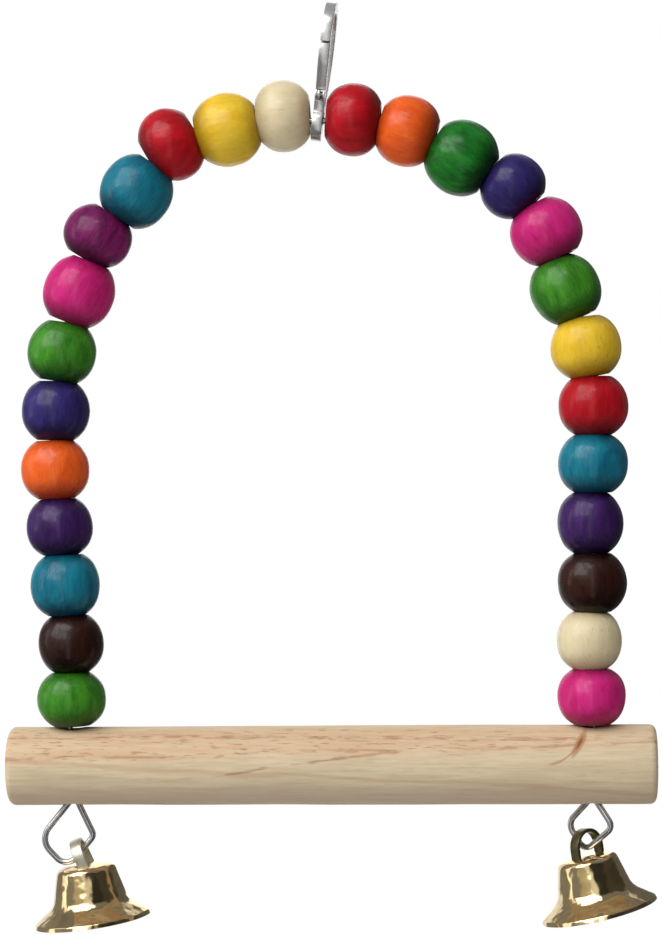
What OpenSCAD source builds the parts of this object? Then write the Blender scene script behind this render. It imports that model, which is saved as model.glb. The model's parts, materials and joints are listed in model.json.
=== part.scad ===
// Bird swing: a wooden perch hung from an arch of threaded wooden beads, with a bell under each end.
// X runs along the perch, +Y is the far side and +Z is up. The origin is the middle of the clasp's top
// bend, where the hook or cage bar that carries the swing sits.

/* [Perch] */
// Length of the perch
perch_length = 118; // [105:1:160]
// Diameter of the perch
perch_d = 14.5; // [12:0.5:18]
// Radius of the sanded edge at each end of the perch
perch_edge = 1.2; // [0.5:0.1:2]
// Distance between the two upright holes
hole_spacing = 94.4; // [85:0.2:100]
// Diameter of the upright holes
hole_d = 4.6; // [4.4:0.1:5.4]

/* [Arch] */
// Height of the wire's crown above the middle of the perch
arch_height = 117.5; // [110:0.5:130]
// How far the crown sits to the left of the middle
crown_offset = 1.2; // [0:0.1:3]
// Diameter of the wire
wire_d = 1.2; // [1:0.1:1.3]
// Height of the left loop under the perch
left_loop_h = 11.6; // [10.5:0.1:13]
// Height of the right loop under the perch
right_loop_h = 8.6; // [8:0.1:10]
// How far the right loop is turned about its hole, in degrees
right_loop_yaw = 25; // [0:1:35]

/* [Beads] */
// Nominal diameter of a bead
bead_d = 12.7; // [11:0.1:13.4]
// Diameter of the hole through a bead
bead_bore = 4.8; // [4.6:0.1:5.2]
// Gap between neighbouring beads
bead_gap = 0.25; // [0.15:0.05:0.5]

/* [Clasp] */
// Length of the clasp from top to bottom
clasp_length = 25.5; // [24.5:0.1:30]
// Thickness of the clasp, between its flat sides
clasp_t = 1.8; // [1.6:0.05:2.2]
// Width of the clasp's bar, seen from its flat side
clasp_bar = 2; // [1.7:0.1:2.3]
// Radius inside the clasp's top bend, which takes the hook or cage bar
seat_r = 4.4; // [4:0.1:5]
// Radius of the small eye that holds the arch wire
eye_r = 1.25; // [1.15:0.05:1.4]
// Thickness of the metal under the small eye
eye_wall = 3; // [2:0.1:3.5]
// How far the clasp leans over the bead on its right, in degrees
clasp_lean = 7.5; // [0:0.1:8]
// Diameter of the gate's pin
pin_d = 0.9; // [0.7:0.05:1]

/* [Bells] */
// Diameter of a bell's rim
bell_d = 21.3; // [19:0.1:24]
// Height of a bell, from its rim to the top of its crown
bell_h = 11.4; // [11:0.1:13]
// Thickness of the bell's wall
bell_wall = 0.6; // [0.5:0.05:0.7]
// Width of the strip that the ear is bent from
ear_w = 2; // [1.6:0.1:2.1]
// Thickness of the ear's strip
ear_t = 0.65; // [0.5:0.05:0.75]
// Width of the ear over both legs
ear_span = 6.8; // [6.4:0.1:7.4]
// Height of the ear above the crown
ear_h = 4.6; // [4.4:0.1:5.5]
// Diameter of the clapper's ball
clapper_d = 3.4; // [3:0.1:3.6]
// Diameter of the clapper's wire
clapper_wire = 0.7; // [0.6:0.05:0.8]

/* [Hidden] */
$fn = 48;
function two_figures(k) = k < 10 ? str("0", k) : str(k);
// Each bead's room along the wire, from the perch upwards. The rooms share out the wire between the
// clasp and the perch.
left_room_shares = [0.94, 0.98, 1.05, 0.97, 1, 1.03, 1.03, 1.13, 0.91, 1.08, 0.97, 1.05, 0.92];
right_room_shares = [0.96, 0.98, 1.01, 1.04, 0.99, 1, 1.04, 1.08, 1.01, 0.91, 1.11, 1, 0.94];
beads_per_side = len(left_room_shares);

// Overrun of a cut past the face that it opens, and the clearance of a loose fit
cut = 0.5;
slack = 0.05;

function sum(list, n) = n <= 0 ? 0 : list[n - 1] + sum(list, n - 1);
function drop(list, n) = n > len(list) - 1 ? [] : [for (i = [n:len(list) - 1]) list[i]];
function along(from, to, share) = from + (to - from) * share;

// BENT WIRE AND ROUNDED OUTLINES
// A wire is bent from a table of [straight run, bend radius, bend angle] rows. It starts at the origin,
// and a positive bend turns its heading from "along" towards "down".

// Where the middle of the wire lies, and its heading, after a run and a bend: [along, down, heading]
function step(p, run, radius, angle) = [
    p[0] + run * cos(p[2]) + sign(angle) * radius * (sin(p[2] + angle) - sin(p[2])),
    p[1] + run * sin(p[2]) + sign(angle) * radius * (cos(p[2]) - cos(p[2] + angle)),
    p[2] + angle];
function arc_length(row) = row[1] * abs(row[2]) * PI / 180;
function bar_length(table) = sum([for (row = table) row[0] + arc_length(row)], len(table));
function bar_point(table, s, p = [0, 0, 0]) =
    let (row = table[0], arc = arc_length(row))
    s <= row[0] ? step(p, s, 0, 0)
    : s <= row[0] + arc || len(table) == 1 ? step(p, row[0], row[1], row[2] * (s - row[0]) / arc)
    : bar_point(drop(table, 1), s - row[0] - arc, step(p, row[0], row[1], row[2]));

// The places along the wire where its bends are drawn, no further apart than a step or a length
bend_step = 10;
bend_length = 4 * wire_d;
function places(table, p = [0, 0, 0]) = len(table) == 0 ? [] :
    let (row = table[0], q = step(p, row[0], 0, 0),
        n = max(ceil(abs(row[2]) / bend_step), ceil(arc_length(row) / bend_length)))
    concat(row[0] > 0 ? [q] : [], row[2] == 0 ? [] : [for (k = [1:n]) step(q, 0, row[1], row[2] * k / n)],
        places(drop(table, 1), step(p, row[0], row[1], row[2])));
// A tube through rings that have the same number of points each
module tube(rings) {
    n = len(rings[0]);
    last = len(rings) - 1;
    sleeves = [for (i = [0:last - 1], j = [0:n - 1]) let (k = (j + 1) % n)
        each [[i * n + j, (i + 1) * n + j, (i + 1) * n + k], [i * n + j, (i + 1) * n + k, i * n + k]]];
    ends = [for (j = [1:n - 2]) each [[0, j, j + 1], [last * n, last * n + j + 1, last * n + j]]];
    polyhedron([for (ring = rings) each ring], concat(sleeves, ends));
}
// A line with its corners rounded: every corner but the first and last becomes an arc of points
arc_steps = 7;
function corner_arc(a, b, c, r) =
    let (u = (a - b) / norm(a - b), v = (c - b) / norm(c - b), half = acos(u * v) / 2,
        mid = b + (u + v) / norm(u + v) * r / sin(half), from = b + u * r / tan(half) - mid,
        turn = (u[0] * v[1] - u[1] * v[0] > 0 ? -1 : 1) * (180 - 2 * half))
    [for (i = [0:arc_steps]) let (w = turn * i / arc_steps)
        mid + [from[0] * cos(w) - from[1] * sin(w), from[0] * sin(w) + from[1] * cos(w)]];
function rounded(corners, radii) = concat([corners[0]],
    [for (i = [1:len(corners) - 2])
        each corner_arc(corners[i - 1], corners[i], corners[i + 1], radii[i - 1])],
    [corners[len(corners) - 1]]);
// The same line moved to its right by a distance
function moved(line, t) = [for (i = [0:len(line) - 1])
    let (way = line[min(i + 1, len(line) - 1)] - line[max(i - 1, 0)])
    line[i] + t * [way[1], -way[0]] / norm(way)];
function reversed(list) = [for (i = [len(list) - 1:-1:0]) list[i]];
// A strip of even width along a line
module strip(line, width) { polygon(concat(moved(line, width / 2), reversed(moved(line, -width / 2)))); }

// CLASP
// In its own frame the origin is the middle of the top bend, the flat sides face X and the gate is at
// -Y. It leans in the swing's plane.
loop_r = seat_r + clasp_bar / 2;
loop_rim = seat_r + clasp_bar;
bottom_z = loop_rim - clasp_length;
eye_z = bottom_z + eye_wall + eye_r;
eye_rim = eye_r + clasp_bar * 0.925;
eye_rim_z = bottom_z + eye_rim;
waist_z = eye_z + eye_r + clasp_bar * 0.3;
waist_half = clasp_bar * 1.2;
clasp_shoulder_share = 22 / 65;
shoulder_z = waist_z * clasp_shoulder_share;
nose_z = -clasp_bar / 4;
lip_z = nose_z - clasp_bar * 0.6;
lip_w = clasp_bar * 0.45;
gate_gap = 0.12;
lug_w = 0.45;
pin_wall = 0.75;
lug_r = pin_d / 2 + pin_wall;
cheek_w = 0.35;
pivot = [-waist_half, waist_z + clasp_bar * 1.05];
clasp_bend_share = 5 / 13;
bend_r = -waist_z * clasp_bend_share;
// The lug stands to one side between the gate's cheeks, and the spring lies beside it
lug_x = (lug_w - clasp_t) / 2 + cheek_w + 2 * slack;
spring_wire = 0.12;
spring_pitch = 0.14;
spring_turns = 2;

module clasp_frame() { rotate([0, clasp_lean, 0]) children(); }
module plate(width) { rotate([90, 0, 90]) translate([0, 0, -width / 2]) linear_extrude(width) children(); }

module clasp_body() {
    color("silver") clasp_frame() difference() {
        plate(clasp_t) difference() {
            union() {
                top_outline();
                back_outline();
                waist_outline();
            }
            translate([0, eye_z]) circle(eye_r);
        }
        for (side = [-1, 1]) translate([lug_x + side * (lug_w + clasp_t) / 2, pivot[0], pivot[1]])
            rotate([0, 90, 0]) cylinder(r = lug_r + gate_gap, h = clasp_t, center = true);
        translate([0, pivot[0], pivot[1]]) rotate([0, 90, 0])
            cylinder(d = pin_d + 2 * slack, h = clasp_t, center = true);
    }
}
// The top bend ends in a nose. The lip outside it covers the gate's tip, so the gate only opens inwards.
module top_outline() {
    difference() {
        union() {
            circle(loop_rim);
            translate([-loop_rim, nose_z]) square([clasp_bar, -nose_z]);
            translate([-loop_rim, lip_z]) square([lip_w, -lip_z]);
            translate([seat_r, shoulder_z / 2]) square([clasp_bar, -shoulder_z / 2]);
        }
        circle(seat_r);
        translate([-seat_r, -loop_rim - cut]) square([2 * seat_r, loop_rim + cut]);
        translate([-loop_rim - cut, -loop_rim - cut]) square([loop_rim, loop_rim + cut + lip_z]);
        translate([-loop_rim + lip_w, -loop_rim - cut]) square([loop_rim, loop_rim + cut + nose_z]);
        translate([0, -loop_rim - cut]) square([loop_rim + cut, loop_rim + cut + shoulder_z / 2]);
    }
}
// The bar behind runs straight down and then in to the waist
module back_outline() {
    strip(rounded([[loop_r, shoulder_z / 2], [loop_r, shoulder_z], [waist_half - clasp_bar / 2, waist_z],
        [waist_half - clasp_bar / 2, waist_z - clasp_bar]], [bend_r, bend_r]), clasp_bar);
}
// The waist joins the back bar, the lug for the gate and the rim of the small eye
module waist_outline() {
    translate([0, eye_rim_z]) circle(eye_rim);
    translate(pivot) circle(lug_r);
    polygon([[pivot[0] - lug_r, pivot[1]], [-waist_half, waist_z - clasp_bar / 4],
        [-waist_half, eye_rim_z + eye_rim / 2], [waist_half, eye_rim_z + eye_rim / 2],
        [waist_half, waist_z], [0, waist_z + clasp_bar / 4], [pivot[0] + lug_r, pivot[1]]]);
}

module clasp_gate() {
    tip_r = norm([-seat_r - pivot[0], nose_z - gate_gap - pivot[1]]);
    step_y = -loop_rim + lip_w;
    step_r = norm([step_y - pivot[0], lip_z - gate_gap - pivot[1]]);
    color("gainsboro") clasp_frame() difference() {
        plate(clasp_t) difference() {
            union() {
                intersection() {
                    strip(rounded([[-loop_r, 0], [-loop_r, shoulder_z], pivot + [0, lug_r], pivot],
                        [bend_r, bend_r * 0.6]), clasp_bar);
                    translate(pivot) circle(tip_r);
                }
                translate(pivot) circle(lug_r);
            }
            difference() {
                translate([-loop_rim - cut, shoulder_z / 2]) square([lip_w + gate_gap + cut, -shoulder_z]);
                translate(pivot) circle(step_r);
            }
        }
        plate(clasp_t - 2 * cheek_w) translate(pivot) circle(lug_r + gate_gap);
        translate([0, pivot[0], pivot[1]]) rotate([0, 90, 0])
            cylinder(d = pin_d + 2 * slack, h = clasp_t + cut, center = true);
    }
}
module gate_pin() {
    color("dimgray") clasp_frame() translate([0, pivot[0], pivot[1]]) rotate([0, 90, 0])
        cylinder(d = pin_d, h = clasp_t, center = true);
}
// A small coil on the pin, between the lug and one cheek, pushes the gate shut
module gate_spring() {
    coil_r = pin_d / 2 + 2 * slack + spring_wire / 2;
    steps = 24;
    sides = 6;
    color("gray") clasp_frame() translate([lug_x + lug_w / 2 + slack + spring_wire / 2, pivot[0], pivot[1]])
        tube([for (i = [0:spring_turns * steps]) [for (j = [0:sides - 1])
            let (a = 360 * i / steps, b = 360 * j / sides, r = coil_r + spring_wire / 2 * cos(b))
            [spring_pitch * i / steps + spring_wire / 2 * sin(b), r * cos(a), r * sin(a)]]]);
}

// ARCH WIRE
// Each side of the arch is three bends from the crown, then a straight leg that leans in a little and
// is set straight again at the top of the perch. The bend radii are shares of one length, which is
// worked out so that the leg meets its hole.
left_radius_shares = [3, 0.5, 1.64];
left_turn_shares = [9 / 92, 38 / 92, 45 / 92];
left_lean = 2;
right_radius_shares = [1.8, 1.12, 1.54];
right_turn_shares = [13 / 90, 36.5 / 90, 40.5 / 90];
right_lean = 0;
leg_bend = 20;
perch_r = perch_d / 2;
// The wire and its turned-up tail lie side by side in the hole
wire_pitch = wire_d + 4 * slack;
// The wire lies on the small eye's lower edge, which the lean lifts on one side
wire_seat = wire_d / 2 / cos(clasp_lean) + clasp_t / 2 * tan(clasp_lean) + slack;
crown_z = bottom_z + eye_wall + wire_seat;
crown = [crown_z * sin(clasp_lean), 0, crown_z * cos(clasp_lean)];
perch_mid = crown + [crown_offset, 0, -arch_height];

function lean(side) = side < 0 ? left_lean : right_lean;
function radius_shares(side) = side < 0 ? left_radius_shares : right_radius_shares;
function turn_shares(side) = side < 0 ? left_turn_shares : right_turn_shares;
function turn(side, i) = turn_shares(side)[i] * (90 + lean(side));
function heading(side, i) = sum(turn_shares(side), i) * (90 + lean(side));
function across_share(side) = sum([for (i = [0:2])
    radius_shares(side)[i] * (sin(heading(side, i + 1)) - sin(heading(side, i)))], 3);
function down_share(side) = sum([for (i = [0:2])
    radius_shares(side)[i] * (cos(heading(side, i)) - cos(heading(side, i + 1)))], 3);
function half_width(side) = hole_spacing / 2 + wire_pitch / 2 + side * crown_offset;
function leg_run(side) = let (e = lean(side), slope = down_share(side) / across_share(side))
    (arch_height - perch_r - leg_bend * sin(e) - slope * (half_width(side) + leg_bend * (1 - cos(e))))
    / (cos(e) + slope * sin(e));
function bend_unit(side) = (half_width(side) + leg_run(side) * sin(lean(side))
    + leg_bend * (1 - cos(lean(side)))) / across_share(side);
function arch_table(side) = concat(
    [for (i = [0:2]) [0, bend_unit(side) * radius_shares(side)[i], turn(side, i)]],
    [[leg_run(side), leg_bend, -lean(side)]]);

// The loop under each hole is a kite with rounded corners. The corners are [outwards, up] from the
// hole's lower mouth, in shares of the loop's height, and the fillets are shares of it too.
left_corner_shares = [[0.566, -0.54], [0.126, -1], [-0.309, -0.474]];
left_fillet_shares = [0.13, 0.276, 0.207, 0.112, 0.2];
right_corner_shares = [[0.484, -0.454], [-0.169, -1], [-0.558, -0.435]];
right_fillet_shares = [0.17, 0.175, 0.187, 0.256, 0.17];
leg_rise_share = 0.06;
tail_rise_share = 0.035;
tail_share = 0.7;

function loop_h(side) = side < 0 ? left_loop_h : right_loop_h;
function corner_shares(side) = side < 0 ? left_corner_shares : right_corner_shares;
function fillets(side) = (side < 0 ? left_fillet_shares : right_fillet_shares) * loop_h(side);
function corners(side) = concat([[wire_pitch / 2, leg_rise_share * perch_d]],
    corner_shares(side) * loop_h(side), [[-wire_pitch / 2, tail_rise_share * perch_d]]);
function slope(a, b) = atan2(a[0] - b[0], a[1] - b[1]);
function within_half_turn(a) = a > 180 ? a - 360 : a < -180 ? a + 360 : a;
function slopes(side) = let (c = corners(side)) concat([0], [for (i = [0:3]) slope(c[i], c[i + 1])], [180]);
function loop_turn(side, i) = within_half_turn(slopes(side)[i + 1] - slopes(side)[i]);
function tangent(side, i) = fillets(side)[i] * tan(abs(loop_turn(side, i)) / 2);
function loop_table(side) = let (c = corners(side)) concat(
    [[perch_d - c[0][1] - tangent(side, 0), fillets(side)[0], loop_turn(side, 0)]],
    [for (i = [1:4]) [norm(c[i] - c[i - 1]) - tangent(side, i - 1) - tangent(side, i),
        fillets(side)[i], loop_turn(side, i)]],
    [[tail_share * perch_d - c[4][1] - tangent(side, 4), 0, 0]]);
function loop_yaw(side) = side < 0 ? 0 : right_loop_yaw;

// Rings of points round the wire: along the arch, and then round the loop, which is turned by its yaw
wire_sides = 12;
function foot(side) = bar_point(arch_table(side), bar_length(arch_table(side)));
function outward(side) = [side * cos(loop_yaw(side)), -sin(loop_yaw(side)), 0];
function sideways(side) = [side * sin(loop_yaw(side)), cos(loop_yaw(side)), 0];
function ring(mid, n, b, turned) = [for (j = [0:wire_sides - 1]) let (w = 360 * j / wire_sides + turned)
    mid + wire_d / 2 * (cos(w) * n + sin(w) * b)];
function arch_rings(side) = [for (p = places(arch_table(side)))
    ring([side * p[0], 0, -p[1]], [side * sin(p[2]), 0, cos(p[2])], [0, 1, 0], 0)];
function loop_rings(side) = let (f = foot(side)) [for (p = places(loop_table(side)))
    ring([side * f[0], 0, -f[1]] + [0, 0, -p[0]] - p[1] * outward(side),
        [0, 0, -sin(p[2])] + cos(p[2]) * outward(side), sideways(side), loop_yaw(side))];
module arch_wire() {
    color("silver") translate(crown) tube(concat(reversed(loop_rings(-1)), reversed(arch_rings(-1)),
        [ring([0, 0, 0], [0, 0, 1], [0, 1, 0], 0)], arch_rings(1), loop_rings(1)));
}

// The perch, a dowel with sanded ends and two upright holes
module perch() {
    flat = perch_length - 2 * perch_edge;
    color("burlywood") translate(perch_mid) difference() {
        rotate([0, 90, 0]) rotate_extrude($fn = 96) {
            translate([0, -flat / 2]) square([perch_r, flat]);
            translate([0, -perch_length / 2]) square([perch_r - perch_edge, perch_length]);
            for (end = [-1, 1]) translate([perch_r - perch_edge, end * flat / 2]) circle(perch_edge);
        }
        for (side = [-1, 1]) translate([side * hole_spacing / 2, 0, 0])
            cylinder(d = hole_d, h = perch_d + 2 * cut, center = true);
    }
}

// BEADS
// Each bead's diameter and how far it sits out from the wire, from the perch upwards
left_size_shares = [0.99, 0.95, 1, 0.95, 0.98, 0.98, 0.99, 1.02, 1, 1.04, 1.08, 1.06, 1.03];
right_size_shares = [0.98, 0.92, 0.97, 0.93, 1, 0.99, 1.01, 1.01, 1.02, 0.95, 1.08, 1.02, 1.05];
left_shift_shares = [-0.28, -0.5, -0.2, 0.15, 0.34, 0.05, -0.08, -0.28, 0.33, -0.56, 0.45, -0.13, 0.6];
right_shift_shares = [-0.25, -0.41, -0.06, -0.22, 0.09, 0.18, -0.1, -0.6, 0.39, 0.6, -0.45, 0, 0.22];
left_colours = ["yellowgreen", "saddlebrown", "teal", "darkorchid", "darkorange", "indigo", "yellowgreen",
    "deeppink", "purple", "teal", "crimson", "gold", "wheat"];
right_colours = ["deeppink", "wheat", "saddlebrown", "darkorchid", "teal", "crimson", "gold", "yellowgreen",
    "deeppink", "indigo", "darkgreen", "darkorange", "crimson"];
face_share = 0.275;
shoulder_share = 0.25;
belly_share = 0.75;
// The shoulders are this much fuller than a true blend, as a turner's tool leaves them
fuller_share = 1.006;
clasp_room = clasp_t / 2 / cos(clasp_lean) + clasp_bar * 0.18;

function room_shares(side) = side < 0 ? left_room_shares : right_room_shares;
function size_share(side, k) = (side < 0 ? left_size_shares : right_size_shares)[k - 1];
function shift_share(side, k) = (side < 0 ? left_shift_shares : right_shift_shares)[k - 1];
function bead_colour(side, k) = (side < 0 ? left_colours : right_colours)[k - 1];
// Length along the wire from the crown to the upper end of bead k's room
function room_end(side, k) = let (whole = bar_length(arch_table(side)), shares = room_shares(side))
    whole - (whole - clasp_room) * sum(shares, k) / sum(shares, beads_per_side);
function room_mid(side, k) = (room_end(side, k - 1) + room_end(side, k)) / 2;
function room_turn(side, k) = let (t = arch_table(side))
    abs(bar_point(t, room_end(side, k - 1))[2] - bar_point(t, room_end(side, k))[2]) * PI / 180;
// The faces of neighbours on a bend meet first on the inner side, so a bead there is a little shorter
function bead_length(side, k) = room_end(side, k - 1) - room_end(side, k) - bead_gap
    - face_share * bead_d * room_turn(side, k);

// A bead is turned: a flat belly, round shoulders and a small flat face at each end
module bead_shape(length, d) {
    half = length / 2;
    belly_r = belly_share * d;
    shoulder_r = shoulder_share * d;
    inset = belly_r - d / 2;
    up = half - shoulder_r;
    out = sqrt(pow(belly_r - shoulder_r, 2) - up * up) - inset;
    belly_up = up * belly_r / (belly_r - shoulder_r);
    rotate_extrude($fn = 64) intersection() {
        translate([bead_bore / 2, -half]) square([d, length]);
        union() {
            translate([0, -half]) square([out, length]);
            for (end = [-1, 1]) translate([out, end * up]) circle(shoulder_r * fuller_share);
            intersection() {
                translate([-inset, 0]) circle(belly_r);
                translate([0, -belly_up]) square([d, 2 * belly_up]);
            }
        }
    }
}
module bead(side, k) {
    place = bar_point(arch_table(side), room_mid(side, k));
    out = shift_share(side, k) * (bead_bore - wire_d) / 2;
    across = place[0] + out * sin(place[2]);
    down = place[1] - out * cos(place[2]);
    color(bead_colour(side, k)) translate(crown + [side * across, 0, -down])
        rotate([0, side * (90 + place[2]), 0]) bead_shape(bead_length(side, k), bead_d * size_share(side, k));
}

// BELLS
// Each bell hangs on its loop by a strip ear that is riveted loosely through the crown. Its place is
// given by the point of the loop that carries the ear, a share of the way along the inner lower side.
left_hang_share = 0.55;
right_hang_share = 0;
left_rest = 1.7;
right_rest = 0.75;
left_rest_lean = 15;
right_rest_lean = 24;
left_bell_lean = 7.5;
right_bell_lean = 13.3;
left_ear_lean = 17;
right_ear_lean = -6;
left_ear_yaw = 90;
right_ear_yaw = 45;
ear_leg = 3.1;
ear_bar_z = ear_t / 2 - ear_leg;
clapper_ring = norm([ear_w, ear_t]) / 2 + 3 * slack + clapper_wire / 2;
clapper_length = 5.8;
// Corners of the bell's outer line, from the crown to the rim, in shares of its radius and height
bell_corner_shares = [[0, 1], [0.2, 1], [0.51, 0.943], [0.68, 0.36], [1, 0.055], [1, 0]];
bell_fillet_shares = [1.6, 0.11, 0.42, 0.04];

function hang_share(side) = side < 0 ? left_hang_share : right_hang_share;
function hang_point(side) =
    let (c = corners(side), p = along(c[2], c[3], hang_share(side)), f = fillets(side)[2],
        turned = loop_turn(side, 2), rise = hang_share(side) > 0 ? 0 : f / cos(turned / 2) - f)
    perch_mid + [side * (hole_spacing + wire_pitch) / 2, 0, p[1] + rise - perch_r]
        + (p[0] - wire_pitch / 2) * outward(side);
function bell_lean(side) = side < 0 ? left_bell_lean : right_bell_lean;
function ear_lean(side) = side < 0 ? left_ear_lean : right_ear_lean;
function ear_yaw(side) = side < 0 ? left_ear_yaw : right_ear_yaw;
function rest_lean(side) = side < 0 ? left_rest_lean : right_rest_lean;
function bell_rest(side) = wire_d / 2 + (side < 0 ? left_rest : right_rest);
function bell_top(side) = hang_point(side)
    + bell_rest(side) * [sin(rest_lean(side)), 0, -cos(rest_lean(side))];

bell_line = rounded([for (c = bell_corner_shares) [c[0] * bell_d / 2, c[1] * bell_h]],
    bell_fillet_shares * bell_d / 2);

module bell_frame(side) { translate(bell_top(side)) rotate([0, -bell_lean(side), 0]) children(); }
module ear_frame(side) {
    bell_frame(side) rotate([0, -ear_lean(side), 0]) rotate([0, 0, ear_yaw(side)]) children();
}

module bell_shell(side) {
    color("goldenrod") difference() {
        bell_frame(side) translate([0, 0, -bell_h]) rotate_extrude($fn = 96)
            polygon(concat(bell_line, reversed(moved(bell_line, bell_wall))));
        ear_frame(side) for (end = [-1, 1]) translate([end * (ear_span - ear_t) / 2, 0, 0])
            cube([ear_t + 2 * slack, ear_w + 2 * slack, ear_leg], center = true);
    }
}
module ear_outline(inset) {
    half = ear_span / 2 - inset;
    spring_line = ear_h - ear_span / 2;
    translate([0, spring_line]) circle(half, $fn = 64);
    translate([-half, inset - ear_leg]) square([2 * half, spring_line + ear_leg - inset]);
}
module bell_ear(side) {
    color("darkkhaki") ear_frame(side) rotate([90, 0, 0]) translate([0, 0, -ear_w / 2])
        linear_extrude(ear_w) difference() {
            ear_outline(0);
            ear_outline(ear_t);
        }
}
// The clapper is a ring on the ear's bottom bar, a stem and a ball, and hangs plumb
module clapper(side) {
    color("gray") ear_frame(side) translate([0, 0, ear_bar_z])
        rotate([atan(sin(ear_yaw(side)) * tan(bell_lean(side) + ear_lean(side))), 0, 0]) {
            rotate([0, 90, 0]) rotate_extrude()
                translate([clapper_ring, 0]) circle(d = clapper_wire, $fn = 24);
            difference() {
                translate([0, 0, -clapper_length])
                    cylinder(d = clapper_wire, h = clapper_length - clapper_ring);
                rotate([0, 90, 0]) cylinder(r = clapper_ring, h = clapper_wire + cut, center = true);
            }
            translate([0, 0, -clapper_length]) sphere(d = clapper_d);
        }
}

clasp_body();
clasp_gate();
gate_pin();
gate_spring();
arch_wire();
perch();
for (k = [1:beads_per_side]) {
    bead(-1, k);
    bead(1, k);
}
bell_shell(-1);  // left_bell_shell
bell_ear(-1);  // left_bell_ear
clapper(-1);  // left_clapper
bell_shell(1);  // right_bell_shell
bell_ear(1);  // right_bell_ear
clapper(1);  // right_clapper
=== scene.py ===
# %% [markdown]
# # A bird swing with wooden beads, a perch and two bells
# The swing is a wire arch with 26 dyed wooden beads, a pine perch, a sprung clasp to hang it by and a
# small brass bell under each end. This lesson dresses its solid model with Blender pieces and
# procedural finishes. First the imported model is loaded: its nodes are the fixed frame that every new
# piece is fitted to.

import json
import math

import bmesh
import bpy
from mathutils import Matrix, Vector


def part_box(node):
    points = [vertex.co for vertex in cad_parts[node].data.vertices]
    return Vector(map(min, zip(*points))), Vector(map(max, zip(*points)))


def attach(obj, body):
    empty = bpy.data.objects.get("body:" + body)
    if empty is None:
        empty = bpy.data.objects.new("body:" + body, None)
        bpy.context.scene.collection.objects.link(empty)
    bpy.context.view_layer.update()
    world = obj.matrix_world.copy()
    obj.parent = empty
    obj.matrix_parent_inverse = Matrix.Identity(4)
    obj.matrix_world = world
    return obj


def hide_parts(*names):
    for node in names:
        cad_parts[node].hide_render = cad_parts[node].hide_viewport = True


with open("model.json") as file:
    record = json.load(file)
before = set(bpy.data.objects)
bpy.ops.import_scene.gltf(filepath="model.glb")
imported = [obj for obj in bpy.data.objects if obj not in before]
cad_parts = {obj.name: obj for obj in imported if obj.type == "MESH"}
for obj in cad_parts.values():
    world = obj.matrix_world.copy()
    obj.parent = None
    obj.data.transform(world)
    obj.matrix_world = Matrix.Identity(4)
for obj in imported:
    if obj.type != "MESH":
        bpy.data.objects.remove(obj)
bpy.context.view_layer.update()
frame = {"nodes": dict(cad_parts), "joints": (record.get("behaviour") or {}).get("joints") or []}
MM = 0.001
joints = {joint["name"]: joint for joint in frame["joints"]}
print("nodes:", len(frame["nodes"]), "joints:", len(joints))

# %% [markdown]
# ## The camera
# The photograph was taken level with the middle of the swing, from a little to its right, with a long
# lens: the right end of the perch looks slightly nearer. The swing also hangs a little askew in the
# frame. Both are given to the camera, as a place and a small roll, so that the swing itself stays true.

# %% Place the camera
FRAME_HEIGHT = 935
FOCUS_PX = 2573
aim = Vector((-0.27, 0, -78.45)) * MM
stand_off = 469 * MM
to_the_right = math.radians(3.4)
camera_roll = math.radians(0.55)

camera_data = bpy.data.cameras.new("camera")
camera_data.sensor_width = 36
camera_data.lens = FOCUS_PX / FRAME_HEIGHT * camera_data.sensor_width
camera_data.clip_start, camera_data.clip_end = 0.01, 20
camera = bpy.data.objects.new("camera", camera_data)
bpy.context.scene.collection.objects.link(camera)
bpy.context.scene.camera = camera
eye = aim + stand_off * Vector((math.sin(to_the_right), -math.cos(to_the_right), 0))
looking = (aim - eye).to_track_quat("-Z", "Y").to_matrix().to_4x4()
camera.matrix_world = Matrix.Translation(eye) @ looking @ Matrix.Rotation(-camera_roll, 4, "Z")
bpy.context.scene.view_settings.view_transform = "Standard"
print("lens:", round(camera_data.lens, 1), "mm")

# %% [markdown]
# ## Shader maths that reads like maths
# A finish is a small network of nodes. Wiring each Math node by hand hides what the network does, so
# one class wraps an output socket and lets Python's own signs add the nodes. A second class holds the
# material that is being made, and adds every other kind of node with one method.


# %% A socket that can be added and multiplied
class Signal:
    def __init__(self, finish, socket):
        self.finish, self.socket = finish, socket

    def maths(self, operation, first, second=0.0):
        return self.finish.add("ShaderNodeMath", {"operation": operation}, {0: first, 1: second})

    def __add__(self, other):
        return self.maths("ADD", self, other)

    def __radd__(self, other):
        return self.maths("ADD", other, self)

    def __sub__(self, other):
        return self.maths("SUBTRACT", self, other)

    def __rsub__(self, other):
        return self.maths("SUBTRACT", other, self)

    def __mul__(self, other):
        return self.maths("MULTIPLY", self, other)

    def __rmul__(self, other):
        return self.maths("MULTIPLY", other, self)

    def __truediv__(self, other):
        return self.maths("DIVIDE", self, other)

    def sine(self):
        return self.maths("SINE", self)

    def root(self):
        return self.maths("SQRT", self)

    def near(self, width):
        """1 at zero, and 0 further from it than a width"""
        return self.maths("ABSOLUTE", self).band(width, width * 0.3)

    def band(self, low, high):
        """0 below low and 1 above high, with a soft step between them; high may be the lower one"""
        sockets = {"Value": self, "From Min": low, "From Max": high}
        settings = {"interpolation_type": "SMOOTHSTEP"}
        return self.finish.add("ShaderNodeMapRange", settings, sockets)


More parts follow.
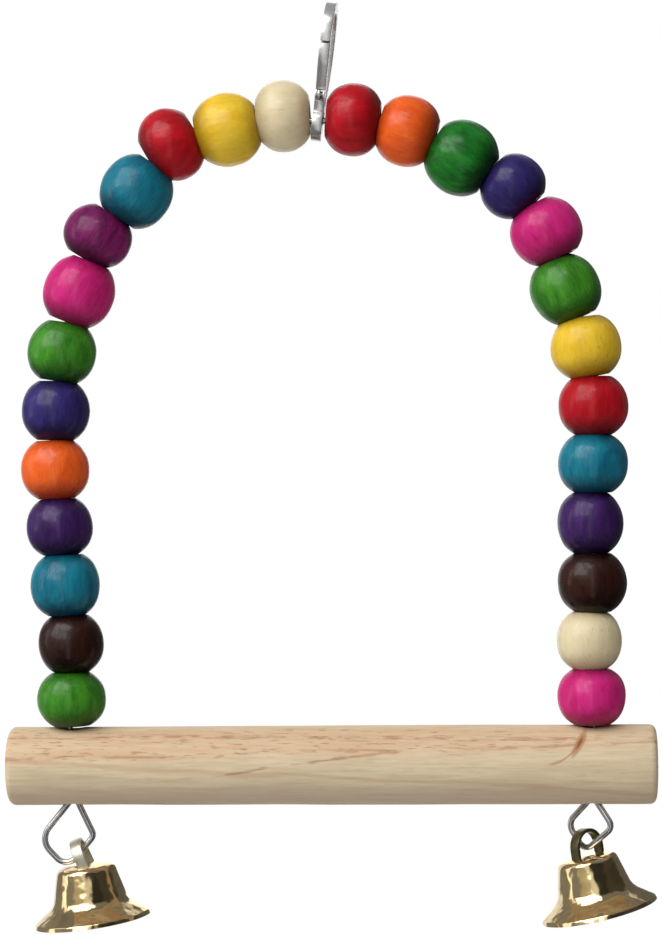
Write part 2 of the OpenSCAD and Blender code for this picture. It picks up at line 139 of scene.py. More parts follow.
class Finish:
    def __init__(self, name):
        self.material = bpy.data.materials.new(name)
        self.material.use_nodes = True
        self.tree = self.material.node_tree
        self.surface = self.tree.nodes["Principled BSDF"]

    def add(self, kind, settings, sockets, output=0):
        """Adds a node: its settings first, then the values or links of its sockets"""
        node = self.tree.nodes.new(kind)
        for name, value in settings.items():
            setattr(node, name, value)
        for name, value in sockets.items():
            self.feed(node.inputs[name], value)
        return Signal(self, node.outputs[output])

    def feed(self, socket, value):
        if isinstance(value, Signal):
            self.tree.links.new(value.socket, socket)
        else:
            socket.default_value = value

    def wear(self, **values):
        """Sets the sockets of the surface shader, with spaces for underscores"""
        for name, value in values.items():
            self.feed(self.surface.inputs[name.replace("_", " ")], value)

    def place(self, centre=(0, 0, 0)):
        """Object coordinates in millimetres, measured from a centre"""
        here = self.add("ShaderNodeTexCoord", {}, {}, "Object")
        sockets = {"Vector": here, "Location": tuple(-c / MM for c in centre)}
        sockets["Scale"] = (1 / MM, 1 / MM, 1 / MM)
        return self.add("ShaderNodeMapping", {}, sockets)

    def stretched(self, vector, stretch):
        return self.add("ShaderNodeVectorMath", {"operation": "MULTIPLY"}, {0: vector, 1: stretch})

    def noise(self, vector, scale, detail=2.0, roughness=0.5, distortion=0.0):
        sockets = {"Vector": vector, "Scale": scale, "Detail": detail}
        sockets.update({"Roughness": roughness, "Distortion": distortion})
        return self.add("ShaderNodeTexNoise", {}, sockets)

    def parts(self, vector):
        node = self.tree.nodes.new("ShaderNodeSeparateXYZ")
        self.tree.links.new(vector.socket, node.inputs[0])
        return [Signal(self, socket) for socket in node.outputs]

    def mix(self, share, first, second):
        """Goes from the first colour to the second as the share goes from 0 to 1"""
        first, second = [c if isinstance(c, Signal) else (*c, 1) for c in (first, second)]
        sockets = {0: share, 6: first, 7: second}
        return self.add("ShaderNodeMix", {"data_type": "RGBA"}, sockets, 2)

    def bump(self, height, distance, strength=1.0):
        """Raises the surface by the height, times a distance in millimetres"""
        sockets = {"Height": height, "Distance": distance * MM, "Strength": strength}
        self.wear(Normal=self.add("ShaderNodeBump", {}, sockets))


def shade(red, green, blue):
    """A colour written as on a colour chart, 0 to 255, in the linear scale that shaders use"""
    shares = [c / 255 for c in (red, green, blue)]
    return tuple(c / 12.92 if c <= 0.04045 else ((c + 0.055) / 1.055) ** 2.4 for c in shares)


# %% [markdown]
# ## Light and stage
# The swing hangs against plain white, and every bead shows one soft, squarish highlight at its upper
# left: a large softbox, high up. A small one at the left and a wide one behind fill in. The world is
# white to the camera and to reflections, but lights the swing far less than that, or the dyes would
# look washed out.


# %% The world and the softboxes
def white_world(light_share):
    world = bpy.data.worlds.new("white room")
    bpy.context.scene.world = world
    world.use_nodes = True
    nodes, links = world.node_tree.nodes, world.node_tree.links
    path = nodes.new("ShaderNodeLightPath")
    seen = nodes.new("ShaderNodeMath")
    seen.operation = "MAXIMUM"
    links.new(path.outputs["Is Camera Ray"], seen.inputs[0])
    links.new(path.outputs["Is Glossy Ray"], seen.inputs[1])
    either = nodes.new("ShaderNodeMath")
    either.operation = "MAXIMUM"
    links.new(seen.outputs[0], either.inputs[0])
    links.new(path.outputs["Is Transmission Ray"], either.inputs[1])
    strength = nodes.new("ShaderNodeMapRange")
    strength.inputs["To Min"].default_value = light_share
    links.new(either.outputs[0], strength.inputs["Value"])
    links.new(strength.outputs["Result"], nodes["Background"].inputs["Strength"])
    nodes["Background"].inputs["Color"].default_value = (1, 1, 1, 1)


def softbox(name, direction, distance, width, height, watts):
    """An area lamp that faces the middle of the swing"""
    lamp = bpy.data.lights.new(name, "AREA")
    lamp.shape, lamp.size, lamp.size_y, lamp.energy = "RECTANGLE", width, height, watts
    box = bpy.data.objects.new(name, lamp)
    bpy.context.scene.collection.objects.link(box)
    way = Vector(direction).normalized()
    turned = way.to_track_quat("Z", "Y").to_matrix().to_4x4()
    box.matrix_world = Matrix.Translation(aim + way * distance) @ turned


white_world(0.17)
softbox("key softbox", (-0.45, -0.6, 0.66), 1.1, 1.15, 1.0, 13.6)
softbox("left softbox", (-1, -0.1, 0.2), 1.2, 0.35, 0.9, 1.4)
softbox("back softbox", (0.3, 1, 0.45), 1.9, 2.4, 2.4, 10.0)

# %% [markdown]
# ### The floor and the cards
# Lacquer and metal show what stands round them, and an all-white room would make both look hazy. So
# five large cards make a dim room of greys that only reflections see: each card is hidden from the
# camera, from diffuse light and from shadows. In it stand a tall white strip, which the front of the
# metal mirrors, a grey wing that tones down the clasp's right side, and a warm card for the brass. The
# floor is one pale disc, far below because the swing hangs, and it sends light up to the undersides.


# %% Stage pieces
BLACK = (0, 0, 0)
ROOM_REACH, ROOM_WALL = 1.5, 3.4


def stage_finish(name, colour, glow=BLACK):
    finish = Finish(name)
    finish.wear(Base_Color=(*colour, 1), Roughness=1.0)
    finish.wear(Emission_Color=(*glow, 1), Emission_Strength=1.0)
    finish.surface.inputs["Specular IOR Level"].default_value = 0
    return finish.material


def card(name, direction, distance, width, height, glow):
    """A plane that faces the middle of the swing and that only reflections see"""
    bpy.ops.object.select_all(action="DESELECT")
    bpy.ops.mesh.primitive_plane_add(size=1)
    piece = bpy.context.object
    piece.name = name
    way = Vector(direction).normalized()
    turned = way.to_track_quat("Z", "Y").to_matrix().to_4x4()
    sized = Matrix.Diagonal((width, height, 1, 1))
    piece.matrix_world = Matrix.Translation(aim + way * distance) @ turned @ sized
    piece.data.materials.append(stage_finish(name, BLACK, glow))
    piece.visible_camera = piece.visible_diffuse = piece.visible_shadow = False


room = {
    "wall in front": ((0, -1, 0), shade(36, 36, 37)),
    "wall at the right": ((1, 0, 0), shade(62, 60, 58)),
    "wall at the left": ((-1, 0, 0), shade(134, 134, 134)),
    "ceiling": ((0, 0, 1), shade(120, 121, 123)),
    "dark ground": ((0, 0, -1), shade(46, 43, 40)),
}
for name, (direction, glow) in room.items():
    card(name, direction, ROOM_REACH, ROOM_WALL, ROOM_WALL, glow)
card("white strip", (-0.06, -0.985, 0.05), 0.9, 0.26, 2.1, (0.85, 0.85, 0.85))
card("grey wing at the back", (0.62, 0.78, 0), ROOM_REACH, 1.5, 2.6, shade(96, 97, 99))
card("warm card", (-0.5, -0.85, 0.1), 1.2, 0.7, 0.5, (0.5, 0.47, 0.36))

bpy.ops.object.select_all(action="DESELECT")
FLOOR_R, FLOOR_Z = 0.8, -0.42
bpy.ops.mesh.primitive_circle_add(
    vertices=96, radius=FLOOR_R, fill_type="NGON", location=(0, 0, FLOOR_Z)
)
floor = bpy.context.object
floor.name = "floor"
floor.visible_glossy = False
floor.data.materials.append(stage_finish("pale floor", shade(236, 236, 236)))
print("stage pieces:", len(room) + 4)

# %% [markdown]
# ## Helpers for modelling
# Pieces are modelled with Blender's own operators, as by hand. The operators act on whatever is
# selected, so each helper first makes sure that only its own piece is, and picks vertices, edges or
# faces by a test on their place.


# %% Selecting in code
def only(piece):
    bpy.ops.object.select_all(action="DESELECT")
    piece.select_set(True)
    bpy.context.view_layer.objects.active = piece


def open_edit(piece):
    only(piece)
    bpy.ops.object.mode_set(mode="EDIT")
    bpy.ops.mesh.select_mode(type="VERT")
    bpy.ops.mesh.select_all(action="SELECT")


def close_edit():
    bpy.ops.object.mode_set(mode="OBJECT")


def choose(piece, kind, test):
    """Selects the VERT, EDGE or FACE elements that pass a test, and says how many there are"""
    bpy.ops.mesh.select_mode(type=kind)
    bpy.ops.mesh.select_all(action="DESELECT")
    mesh = bmesh.from_edit_mesh(piece.data)
    chosen = {"VERT": mesh.verts, "EDGE": mesh.edges, "FACE": mesh.faces}[kind]
    passed = [part for part in chosen if test(part)]
    for part in passed:
        part.select_set(True)
    mesh.select_flush_mode()
    bmesh.update_edit_mesh(piece.data)
    return len(passed)


def apply_modifier(piece, kind, **settings):
    only(piece)
    modifier = piece.modifiers.new(kind.lower(), kind)
    for name, value in settings.items():
        setattr(modifier, name, value)
    bpy.ops.object.modifier_apply(modifier=modifier.name)


def apply_place(piece):
    only(piece)
    bpy.ops.object.transform_apply(location=True, rotation=True, scale=True)


def dress(piece, finish, body, slot, *nodes):
    """Gives a finished piece its material, its body and the nodes that it stands for"""
    piece.data.materials.clear()
    piece.data.materials.append(finish)
    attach(piece, body)
    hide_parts(*nodes)
    return piece


# %% [markdown]
# ### Turning on a lathe
# Beads and bells are turned or spun, so both come from one helper that works as a lathe does: it
# starts with a circle and follows the profile ring by ring, with an extrude and a scale for each step.
# A spin of a drawn profile gives the same form, but this way needs no drawn profile.


# %% A lathe made of extrude and scale
def lathe(name, profile, steps, ring=True):
    """Turns [radius, height] points round Z. A ring closes on its start, other forms at their poles"""
    bpy.ops.object.select_all(action="DESELECT")
    radius, height = profile[0]
    bpy.ops.mesh.primitive_circle_add(vertices=steps, radius=radius, location=(0, 0, height))
    piece = bpy.context.object
    piece.name = piece.data.name = name
    open_edit(piece)
    for next_radius, next_height in profile[1:]:
        rise = {"value": (0, 0, next_height - height)}
        bpy.ops.mesh.extrude_region_move(TRANSFORM_OT_translate=rise)
        share = next_radius / radius
        bpy.ops.transform.resize(value=(share, share, 1), center_override=(0, 0, next_height))
        radius, height = next_radius, next_height
    choose(piece, "EDGE", lambda edge: edge.is_boundary)
    if ring:
        bpy.ops.mesh.bridge_edge_loops()
    else:
        bpy.ops.mesh.fill_holes(sides=0)
    bpy.ops.mesh.select_all(action="SELECT")
    bpy.ops.mesh.normals_make_consistent(inside=False)
    close_edit()
    apply_place(piece)
    return piece


def arc(centre, radius, start, end, steps):
    """Points on an arc, from one angle to the other, in degrees"""
    angles = [math.radians(start + (end - start) * i / steps) for i in range(steps + 1)]
    return [(centre[0] + radius * math.cos(a), centre[1] + radius * math.sin(a)) for a in angles]


# %% [markdown]
# ## Dyed and lacquered wood
# A bead is turned from a stick of close-grained wood, dipped in dye and lacquered. The dye sinks in
# unevenly, so each colour has a deeper tone in the soft grain, fine dark fibres along the hole and a
# few cloudy patches. The lacquer lies over the fibres, so the highlight is soft and slightly streaked.
# Dye also darkens the end grain at both ends; the lower end is darker still, as painted shade under the
# bead. All of it reads two attributes of the bead: its own coordinates, so that the grain runs along
# every bead and no two are alike, and how far a point is towards the bead's lower end.

# %% The dyed finish
GRAIN, END = "turned_place", "end_share"


def bead_finish(name, bright, deep, contrast=1.0, lacquer=0.55):
    finish = Finish(name)
    grain = finish.add("ShaderNodeAttribute", {"attribute_name": GRAIN}, {}, "Vector")
    cloud = finish.noise(finish.stretched(grain, (1, 1, 0.45)), 0.28, 3, 0.55, 0.4)
    fibre = finish.noise(finish.stretched(grain, (1, 1, 0.07)), 2.6, 3, 0.6)
    pore = finish.noise(finish.stretched(grain, (1, 1, 0.16)), 3.4, 1, 0.5)
    along, across, _ = finish.parts(grain)
    wander = finish.noise(finish.stretched(grain, (1, 1, 0.2)), 0.3, 2)
    rings = ((across * 1.1 + along * 0.35 + wander * 7.0) * 2.1).sine() * 0.5 + 0.5
    soaked = cloud.band(0.34, 0.66) * 0.5 + fibre.band(0.3, 0.7) * 0.32 + rings * 0.18
    colour = finish.mix((1.0 - soaked) * 0.85 * contrast, bright, deep)
    lower = finish.add("ShaderNodeAttribute", {"attribute_name": END}, {}, "Fac")
    # darker at both ends for the end grain, and more at the lower end as painted shade under the bead
    end_grain_and_painted_shade = lower.band(0.25, 1.0) * 0.9 + (0.0 - lower).band(0.55, 1.05) * 0.6
    colour = finish.mix(end_grain_and_painted_shade * contrast, colour, tuple(c * 0.4 for c in deep))
    specks = pore.band(0.68, 0.76)
    colour = finish.mix(specks * 0.4 * contrast, colour, tuple(c * 0.35 for c in deep))
    ripple = finish.noise(finish.stretched(grain, (1, 1, 0.6)), 0.85, 2, 0.5)
    thick = lacquer * (0.55 + ripple.band(0.35, 0.65) * 0.6)
    finish.wear(Base_Color=colour, Roughness=0.4 + fibre * 0.14, Coat_Weight=thick)
    finish.wear(Coat_Roughness=0.2, Coat_IOR=1.48, IOR=1.4)
    finish.wear(Specular_IOR_Level=0.2)
    finish.bump(fibre * 0.5 + ripple * 2.6 + cloud * 1.6 - specks * 0.8, 0.045)
    return finish.material


# %% [markdown]
# ### The colours
# Twelve finishes: ten dyes, the very dark brown, and the natural wood, which is only lacquered. Each
# has its full tone and its deeper one.

# %% Twelve bead finishes
bead_finishes = {
    "green": bead_finish("green dye", shade(74, 154, 38), shade(28, 90, 12), lacquer=0.46),
    "brown": bead_finish("dark brown dye", shade(60, 25, 15), shade(17, 5, 3), lacquer=0.45),
    "teal": bead_finish("teal dye", shade(22, 134, 157), shade(3, 76, 102), lacquer=0.44),
    "violet": bead_finish("violet dye", shade(72, 36, 106), shade(32, 12, 58), lacquer=0.42),
    "orange": bead_finish("orange dye", shade(252, 112, 34), shade(226, 72, 16)),
    "indigo": bead_finish("indigo dye", shade(56, 45, 118), shade(25, 16, 64), lacquer=0.46),
    "pink": bead_finish("pink dye", shade(222, 42, 136), shade(186, 15, 94), lacquer=0.44),
    "plum": bead_finish("plum dye", shade(150, 34, 114), shade(76, 6, 54), 1.1, 0.42),
    "red": bead_finish("red dye", shade(204, 14, 34), shade(152, 2, 14), lacquer=0.42),
    "yellow": bead_finish("yellow dye", shade(250, 212, 58), shade(228, 176, 26)),
    "natural": bead_finish("natural lacquered wood", shade(240, 226, 188), shade(214, 186, 136), 0.6),
    "dark_green": bead_finish("dark green dye", shade(34, 140, 42), shade(6, 72, 18), 1.1, 0.4),
}
print("bead finishes:", len(bead_finishes))

# %% [markdown]
# ## The beads
# All beads share one turned profile: a hole, a flat face at each end, and a side that is a little
# squarer than a ball's, which is why their highlights look squarish. It is turned once. Each copy is
# scaled to the size of its own solid, turned to its own place on the wire, and then made slightly
# uneven with a cloudy displacement, as small cheap beads are. A vertex group keeps that unevenness to
# the belly, so that the end faces stay flat.

# %% Turn one bead
BEAD_D, BEAD_LENGTH, BORE = 12.7, 11.0, 4.8
SQUARENESS = 2.12
bore_edge = 0.35
bead_r, half = BEAD_D / 2, BEAD_LENGTH / 2
upper = arc((BORE / 2 + bore_edge, half - bore_edge), bore_edge, 180, 90, 3)
for level in (1.0, 0.99, 0.97, 0.94, 0.9, 0.85, 0.79, 0.72, 0.64, 0.55, 0.45, 0.34, 0.22, 0.1, 0.0):
    share = 1 - (level * half / bead_r) ** SQUARENESS
    upper.append((bead_r * share ** (1 / SQUARENESS), level * half))
outline = upper + [(radius, -height) for radius, height in reversed(upper[:-1])]
pattern_bead = lathe("pattern bead", [(r * MM, z * MM) for r, z in outline], 56)
BELLY = "belly"
belly = pattern_bead.vertex_groups.new(name=BELLY)
for vertex in pattern_bead.data.vertices:
    share = abs(vertex.co.z) / MM / half
    belly.add([vertex.index], max(0.0, min(1.0, (0.98 - share) / 0.3)), "REPLACE")
print("pattern bead:", len(pattern_bead.data.polygons), "faces")


# %% [markdown]
# ### Threading the beads
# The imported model's spin joints say where each bead sits and which way its hole runs. Its own solid
# gives its length and its diameter. The solids leave a gap to turn in, while the real beads are pressed
# together, so each bead is lengthened by half of the gap at each end, measured along the wire's middle.
# On the bend the inner edges of two neighbours then cut into each other, by about a millimetre at the
# most. A bead whose end faces slant to meet the next one would avoid that.


# %% Measure the solid beads
def measure(node, place, axis):
    """Length along the axis and diameter round it"""
    ends, widest = [], 0
    for vertex in frame["nodes"][node].data.vertices:
        away = vertex.co - place
        height = away.dot(axis)
        ends.append(height)
        widest = max(widest, (away - axis * height).length)
    return max(ends) - min(ends), 2 * widest


BEADS_PER_SIDE = 13
PERCH_PRESS, HAIR = 0.08 * MM, 0.015 * MM
CLASP_PRESS = {"left": 0.06 * MM, "right": 0.2 * MM}
solid_beads = {}
for side in ("left", "right"):
    for number in range(1, BEADS_PER_SIDE + 1):
        joint = joints[f"spin_{side}_{number:02d}"]
        place, axis = Vector(joint["pos_m"]), Vector(joint["axis"])
        length, diameter = measure(f"bead_{side}_{number:02d}", place, axis)
        solid_beads[side, number] = (place, axis, length, diameter)


def pressed(side, number):
    """The place and length of a bead that closes half of the gap at each end, but for a hair"""
    place, _, length, _ = solid_beads[side, number]
    start, end = place, place
    for other, sign in ((number - 1, -1), (number + 1, 1)):
        if (side, other) in solid_beads:
            next_place, _, next_length, _ = solid_beads[side, other]
            way = next_place - place
            grown = (way.length - (length + next_length) / 2) / 2 - HAIR
            if sign < 0:
                start = start + way.normalized() * grown
            else:
                end = end + way.normalized() * grown
    if number == 1:
        start = start + (place - end).normalized() * PERCH_PRESS
    if number == BEADS_PER_SIDE:
        end = end + (place - start).normalized() * CLASP_PRESS[side]
    return (start + end) / 2, length + (start - place).length + (end - place).length


# %% Copy, place and loosen each bead
clouds = bpy.data.textures.new("uneven turning", "CLOUDS")
clouds.noise_scale, clouds.noise_depth = 7.5 * MM, 1
UNEVEN, UNEVEN_MIDDLE = 0.4 * MM, 0.45
# Each bead is turned on by this much more than the last, in radians, so that no two look alike
SPIN_STEP = 2.4


def thread_bead(side, number, colour, tilt):
    node = f"bead_{side}_{number:02d}"
    _, axis, _, diameter = solid_beads[side, number]
    place, length = pressed(side, number)
    bead = pattern_bead.copy()
    bead.data = pattern_bead.data.copy()
    bead.name = bead.data.name = node + "_turned"
    bpy.context.scene.collection.objects.link(bead)
    bead.data.attributes.new(GRAIN, "FLOAT_VECTOR", "POINT")
    ends = bead.data.attributes.new(END, "FLOAT", "POINT")
    downward = -1 if axis.z > 0 else 1
    offset = Vector((31 * number, 17 if side == "left" else -23, 9 * number))
    for vertex, item, end in zip(bead.data.vertices, bead.data.attributes[GRAIN].data, ends.data):
        item.vector = vertex.co / MM + offset
        end.value = downward * vertex.co.z / MM / (BEAD_LENGTH / 2)
    sized = Matrix.Diagonal((diameter / MM / BEAD_D,) * 2 + (length / MM / BEAD_LENGTH, 1))
    turned = axis.to_track_quat("Z", "Y").to_matrix().to_4x4()
    spun = Matrix.Rotation(SPIN_STEP * number, 4, "Z")
    leaning = Matrix.Rotation(math.radians(tilt), 4, "Y")
    bead.matrix_world = Matrix.Translation(place) @ leaning @ turned @ spun @ sized
    apply_place(bead)
    apply_modifier(
        bead, "DISPLACE", texture=clouds, strength=UNEVEN, mid_level=UNEVEN_MIDDLE, vertex_group=BELLY
    )
    bpy.ops.object.shade_smooth_by_angle(angle=math.radians(50))
    dress(bead, bead_finishes[colour], node, "bead_" + colour, node)


left_colours = "green brown teal violet orange indigo green pink plum teal red yellow natural"
right_colours = "pink natural brown violet teal red yellow green pink indigo dark_green orange red"
tilts = {
    "left": (0, 0, 0, 0, 0, 1, -1, 3, 3, -3, 1.5, -2, 0),
    "right": (0, 0, 0, 0, 0, 0, 1, -3, 3, -1.5, 3, 2, 0),
}
for side, colours in (("left", left_colours), ("right", right_colours)):
    for number, colour in enumerate(colours.split(), 1):
        thread_bead(side, number, colour, tilts[side][number - 1])
bpy.data.objects.remove(pattern_bead)

# %% [markdown]
# ## The perch wood
# The perch is a sanded, unfinished pine dowel. Seen from the side, its yearly rings run along it as
# wide cream and tan bands with thin, reddish late-wood lines, short dark resin ticks and one small knot
# near the right end. On the end faces the same rings show as arcs. One field gives both: the distance
# from the tree's pith, which lies outside the dowel, bent by a noise that is stretched along the grain.

# %% The pine finish
perch_low, perch_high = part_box("perch")
perch_middle = (perch_low + perch_high) / 2


def pine_finish():
    finish = Finish("sanded pine")
    place = finish.place(perch_middle)
    along, depth, height = finish.parts(place)
    slow = finish.noise(finish.stretched(place, (0.022, 0.12, 0.12)), 1.0, 2, 0.5) - 0.5
    waver = finish.noise(finish.stretched(place, (0.07, 0.3, 0.3)), 1.0, 3, 0.55) - 0.5
    streak = finish.noise(finish.stretched(place, (0.07, 0.9, 0.9)), 1.0, 4, 0.65)
    fibre = finish.noise(finish.stretched(place, (0.16, 2.2, 2.2)), 1.0, 3, 0.65)
    tick = finish.noise(finish.stretched(place, (0.36, 2.6, 2.6)), 1.0, 2, 0.5)
    broken = finish.noise(finish.stretched(place, (0.2, 0.7, 0.7)), 1.0, 2, 0.5)

    layer = height + depth * 0.15 + slow * 2.6 + waver * 1.4
    border = 1.2 + along * 0.03
    warm = (layer - border).band(-0.7, 1.3) * layer.band(7.2, 5.8)
    warm = warm * (0.35 + along.band(56, 34) * 0.65)
    # the underside of the dowel is painted a greyer tone here: painted shade on its lower side
    low = layer.band(-3.0, -6.0)
    cream, tan, rust = shade(232, 212, 176), shade(224, 184, 146), shade(168, 106, 74)
    colour = finish.mix(streak.band(0.3, 0.7) * 0.6, cream, shade(208, 184, 148))
    colour = finish.mix(warm * (0.45 + streak.band(0.4, 0.6) * 0.35), colour, tan)
    colour = finish.mix(low * 0.55, colour, shade(202, 178, 156))
    rising = (height - 1.7 - along * 0.13 + waver * 1.5).near(0.34)
    rising = rising * along.band(-30, -20) * along.band(17, 8) * broken.band(0.42, 0.52)
    upper = (layer - 4.7).near(0.45) * broken.band(0.44, 0.56)
    middle = (layer - 2.3 - along * 0.03).near(0.5) * broken.band(0.54, 0.44)
    faint = (layer + 2.6 + along * 0.05).near(0.5)
    drawn = rising + upper + middle * 0.8
    lines = drawn.maths("MINIMUM", drawn, 1.0)
    colour = finish.mix(faint * 0.3, colour, shade(196, 152, 112))
    colour = finish.mix(lines * (0.2 + streak.band(0.35, 0.6) * 0.4), colour, rust)
    ticks = tick.band(0.58, 0.7) * (0.15 + warm * 0.85)
    colour = finish.mix(ticks * 0.5, colour, shade(158, 98, 66))
    colour = finish.mix((0.52 - fibre).band(0.0, 0.3) * 0.3, colour, shade(178, 150, 118))

    across = (along - 44.9) - (height - 4.3) * 0.55
    around = ((across * across) / 0.8 + (height - 4.4) * (height - 4.4) / 7.5).root() + waver * 0.7
    face = depth.band(1.0, -2.0)
    curve = (height - 0.9 - (along - 39.3) * (along - 39.3) * 0.108 + waver * 0.6).near(0.36)
    curve = curve * along.band(38.6, 40.5) * along.band(45.2, 44.2)
    colour = finish.mix(curve * face * 0.55, colour, shade(176, 118, 78))
    colour = finish.mix(around.band(1.15, 0.5) * face * 0.75, colour, shade(184, 118, 66))
    colour = finish.mix(around.band(0.5, 0.1) * face * 0.7, colour, shade(112, 62, 38))
    finish.wear(Base_Color=colour, Roughness=0.62 + fibre * 0.12)
    finish.bump(fibre * 0.7 + streak * 0.5 - ticks * 0.6 - lines * 0.3, 0.07)
    return finish.material


perch_finish = pine_finish()

# %% [markdown]
# ## The perch
# A dowel is a cylinder with sanded ends. The cylinder is cut into short lengths, so that it can be a
# little out of true, its end edges are bevelled, and two holes are drilled through it with boolean
# modifiers, for the wire.

# %% Turn and drill the dowel
perch_length = perch_high.x - perch_low.x
perch_d = perch_high.z - perch_low.z
hole_spacing, hole_d, sanded_edge = 94.4 * MM, 4.6 * MM, 1.3 * MM


def dowel(name, diameter, length, middle, turn, sides=96):
    bpy.ops.object.select_all(action="DESELECT")
    bpy.ops.mesh.primitive_cylinder_add(
        vertices=sides, radius=diameter / 2, depth=length, location=middle, rotation=turn
    )
    piece = bpy.context.object
    piece.name = piece.data.name = name
    apply_place(piece)
    return piece


perch = dowel("perch_dowel", perch_d, perch_length, perch_middle, (0, math.pi / 2, 0))
open_edit(perch)
choose(perch, "FACE", lambda face: abs(face.normal.x) > 0.9)
bpy.ops.mesh.inset(thickness=2.6 * MM)
bpy.ops.mesh.inset(thickness=2.2 * MM)
ends = (perch_low.x, perch_high.x)
rim = perch_d / 2 * 0.99


def on_end_rim(edge):
    axis = Vector((0, perch_middle.y, perch_middle.z))
    spots = [vertex.co for vertex in edge.verts]
    outside = [(Vector((0, p.y, p.z)) - axis).length > rim for p in spots]
    return all(outside) and abs(spots[0].x - spots[1].x) < MM / 10


choose(perch, "EDGE", on_end_rim)
bpy.ops.mesh.bevel(offset=sanded_edge, segments=6, profile=0.5, affect="EDGES")
DOWEL_PARTS = 24
for cut in range(1, DOWEL_PARTS):
    spot = perch_low.x + perch_length * cut / DOWEL_PARTS
    bpy.ops.mesh.select_all(action="SELECT")
    bpy.ops.mesh.bisect(plane_co=(spot, 0, 0), plane_no=(1, 0, 0))
close_edit()
grown = bpy.data.textures.new("uneven dowel", "CLOUDS")
grown.noise_scale, grown.noise_depth = 22 * MM, 1
apply_modifier(perch, "DISPLACE", texture=grown, strength=0.3 * MM, mid_level=0.85)
for side in (-1, 1):
    spot = perch_middle + Vector((side * hole_spacing / 2, 0, 0))
    drill = dowel("drill", hole_d, 2 * perch_d, spot, (0, 0, 0), 48)
    apply_modifier(perch, "BOOLEAN", object=drill, operation="DIFFERENCE", solver="EXACT")
    bpy.data.objects.remove(drill)
only(perch)
bpy.ops.object.shade_smooth_by_angle(angle=math.radians(38))
dress(perch, perch_finish, "swing", "perch_wood", "perch")
print("perch:", len(perch.data.polygons), "faces")

# %% [markdown]
# ## Metal finishes
# The clasp is nickel-plated, the arch is bright drawn wire and the bells are thin brass with a bright
# plating. Bright metal shows mostly what it mirrors, so its finish is a base colour, a low roughness
# with smears and fine scratches that run the way the piece was drawn, spun or tumbled, and a slight
# dullness from handling.


# %% Bright metal
def metal_finish(name, colour, dull, rough, smear=0.1, lines=(1, 1, 1), wave=0.0, metal=0.85):
    finish = Finish(name)
    place = finish.place()
    cloud = finish.noise(place, 0.35, 3, 0.6)
    fine = finish.noise(finish.stretched(place, lines), 5.0, 3, 0.7)
    shown = finish.mix(cloud.band(0.4, 0.75) * 0.6 + fine.band(0.5, 0.8) * 0.2, colour, dull)
    finish.wear(Base_Color=shown, Metallic=metal)
    finish.wear(Roughness=rough + cloud.band(0.35, 0.75) * smear + fine.band(0.45, 0.8) * smear * 0.5)
    dent = finish.noise(place, 0.22, 2, 0.5)
    finish.bump(fine * 0.006 + dent * wave, 1.0)
    return finish.material


steel_wire = metal_finish(
    "bright drawn wire", shade(222, 222, 224), shade(196, 195, 194), 0.18, 0.05, (1, 1, 0.2)
)
clasp_steel = metal_finish(
    "nickel plating", shade(226, 226, 224), shade(206, 205, 202), 0.22, 0.06, (1, 1, 0.15), 0, 0.7
)
spring_steel = metal_finish("spring wire", shade(170, 170, 172), shade(130, 129, 128), 0.25)
brass = metal_finish(
    "bright brass", shade(230, 207, 158), shade(194, 158, 120), 0.1, 0.08, (1, 1, 1), 0.5, 0.98
)
ear_steel = metal_finish("plated strip", shade(214, 211, 192), shade(176, 172, 150), 0.36, 0.1)
ear_brass = metal_finish("dull brass strip", shade(112, 108, 76), shade(66, 62, 42), 0.3, 0.16)
clapper_steel = metal_finish("tumbled steel", shade(160, 160, 160), shade(120, 118, 116), 0.32)


# %% [markdown]
# ## Pieces that keep their solid's shape
# The wire, the clasp, its gate, the bell ears and the clappers already have the right form. A copy of
# each solid is merged and its flat faces are joined. The clasp, its gate and the ears also get the
# small radius that tumbling leaves at their sharp edges, because a bright edge line is what makes metal
# look solid.


# %% Copy a solid and soften its edges
def softened(node, edge=0.0, subdivide=0, smooth_angle=40):
    piece = bpy.data.objects.new(node + "_finished", frame["nodes"][node].data.copy())
    bpy.context.scene.collection.objects.link(piece)
    open_edit(piece)
    bpy.ops.mesh.remove_doubles(threshold=MM / 1000)
    if subdivide:
        bpy.ops.mesh.tris_convert_to_quads(
            face_threshold=math.radians(40), shape_threshold=math.radians(60)
        )
    else:
        bpy.ops.mesh.dissolve_limited(angle_limit=math.radians(0.6))
    bpy.ops.mesh.normals_make_consistent(inside=False)
    close_edit()
    if edge:
        apply_modifier(
            piece,
            "BEVEL",
            width=edge * MM,
            segments=3,
            limit_method="ANGLE",
            angle_limit=math.radians(32),
            use_clamp_overlap=True,
        )
    if subdivide:
        apply_modifier(piece, "SUBSURF", levels=subdivide, render_levels=subdivide)
    only(piece)
    bpy.ops.object.shade_smooth_by_angle(angle=math.radians(smooth_angle))
    print(node, "faces:", len(piece.data.polygons))
    return piece


dress(softened("arch_wire", 0, 1, 60), steel_wire, "swing", "wire_steel", "arch_wire")
dress(softened("clasp_body", 0.16), clasp_steel, "clasp", "clasp_steel", "clasp_body")
dress(softened("clasp_gate", 0.14), clasp_steel, "clasp_gate", "clasp_steel", "clasp_gate")
for node, finish in (("gate_pin", clasp_steel), ("gate_spring", spring_steel)):
    solid = frame["nodes"][node]
    solid.data.materials.clear()
    solid.data.materials.append(finish)

# %% [markdown]
# ## The bells
# A bell of this kind is pressed from thin sheet brass: a flat crown, a shoulder, a waist that flares
# out and a small straight lip. The outer line is drawn as corners with fillets, the inner line is the
# same moved in by the sheet's thickness, and both are turned in one pass. The rim sits a little higher
# than the solid's, as in the photograph, and the right shell a little to the left.

# %% The bell's outline
BELL_R, BELL_H, SHEET = 21.3 / 2, 10.85, 0.45
RIM_RAISE, RIGHT_SHIFT = 0.55 * MM, Vector((-0.4 * MM, 0, 0))
corner_shares = [(0.03, 0.985), (0.26, 0.985), (0.5, 0.93), (0.65, 0.32), (0.98, 0.085), (1, 0.02)]
fillet_shares = [1.2, 0.13, 0.3, 0.05]


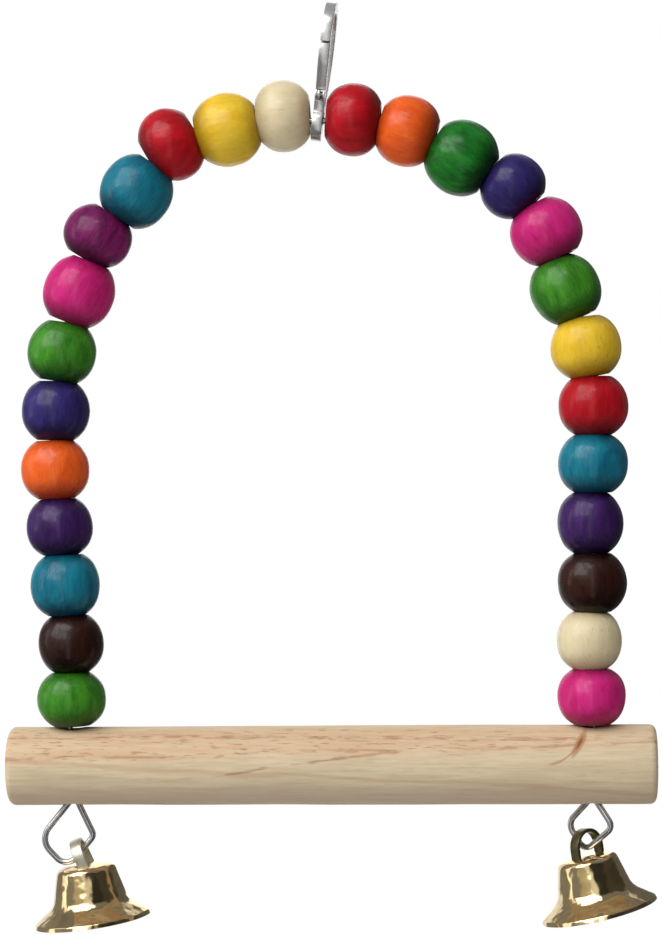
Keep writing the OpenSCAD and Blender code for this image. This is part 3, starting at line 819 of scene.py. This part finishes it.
def filleted(corners, radii, steps=9):
    """A line whose corners, but for the first and the last, are rounded with the radii"""
    line = [corners[0]]
    for before, corner, after, radius in zip(corners, corners[1:], corners[2:], radii):
        back, ahead = (before - corner).normalized(), (after - corner).normalized()
        half_angle = back.angle(ahead) / 2
        centre = corner + (back + ahead).normalized() * radius / math.sin(half_angle)
        start = corner + back * radius / math.tan(half_angle) - centre
        side = 1 if back.x * ahead.y - back.y * ahead.x < 0 else -1
        turn = side * (math.pi - 2 * half_angle)
        for i in range(steps + 1):
            angle = turn * i / steps
            spun = (start.x * math.cos(angle) - start.y * math.sin(angle),
                    start.x * math.sin(angle) + start.y * math.cos(angle))
            line.append(centre + Vector(spun))
    return line + [corners[-1]]


outer = filleted(
    [Vector((r * BELL_R, h * BELL_H)) for r, h in corner_shares],
    [share * BELL_R for share in fillet_shares],
)
inner = []
for i, point in enumerate(outer):
    way = (outer[min(i + 1, len(outer) - 1)] - outer[max(i - 1, 0)]).normalized()
    inner.append(point + SHEET * Vector((way.y, -way.x)))
bell_outline = [(p.x * MM, p.y * MM) for p in outer + inner[::-1] if p.x > 0.25]
print("bell outline:", len(bell_outline), "points")

# %% [markdown]
# ### Hanging the bells
# Each bell leans by the angle that its solid leans by, and the lowest ring of the solid along that axis
# gives the middle of its rim. The ears and clappers are softened copies. The crown is left closed,
# where the solid has two slots for the ear, so here the ear simply passes through the sheet.


# %% Fit a bell to its solid
BELL_LEAN = {"left_bell_shell": 7.5, "right_bell_shell": 13.3}


def bell_axis(node):
    """Middle of the solid's rim and the unit vector up to its crown"""
    spots = [vertex.co.copy() for vertex in frame["nodes"][node].data.vertices]
    axis = Matrix.Rotation(math.radians(-BELL_LEAN[node]), 3, "Y") @ Vector((0, 0, 1))
    low = min(spot.dot(axis) for spot in spots)
    rim_spots = [spot for spot in spots if spot.dot(axis) < low + MM / 20]
    centre = [(max(s[i] for s in rim_spots) + min(s[i] for s in rim_spots)) / 2 for i in range(3)]
    return Vector(centre), axis


for side, ear_finish in (("left", ear_steel), ("right", ear_brass)):
    shell_node, ear_node, clapper_node = f"{side}_bell_shell", f"{side}_bell_ear", f"{side}_clapper"
    rim_middle, axis = bell_axis(shell_node)
    bell = lathe(side + "_bell_spun", bell_outline, 128, ring=False)
    turned = axis.to_track_quat("Z", "Y").to_matrix().to_4x4()
    rim_middle += axis * RIM_RAISE
    if side == "right":
        rim_middle += RIGHT_SHIFT
    bell.matrix_world = Matrix.Translation(rim_middle) @ turned
    apply_place(bell)
    bpy.ops.object.shade_smooth_by_angle(angle=math.radians(50))
    dress(bell, brass, side + "_bell", "bell_brass", shell_node)
    slot = "ear_steel" if side == "left" else "ear_brass"
    dress(softened(ear_node, 0.14), ear_finish, side + "_bell", slot, ear_node)
    clapper = softened(clapper_node, 0, 0, 60)
    dress(clapper, clapper_steel, side + "_clapper", "clapper_steel", clapper_node)
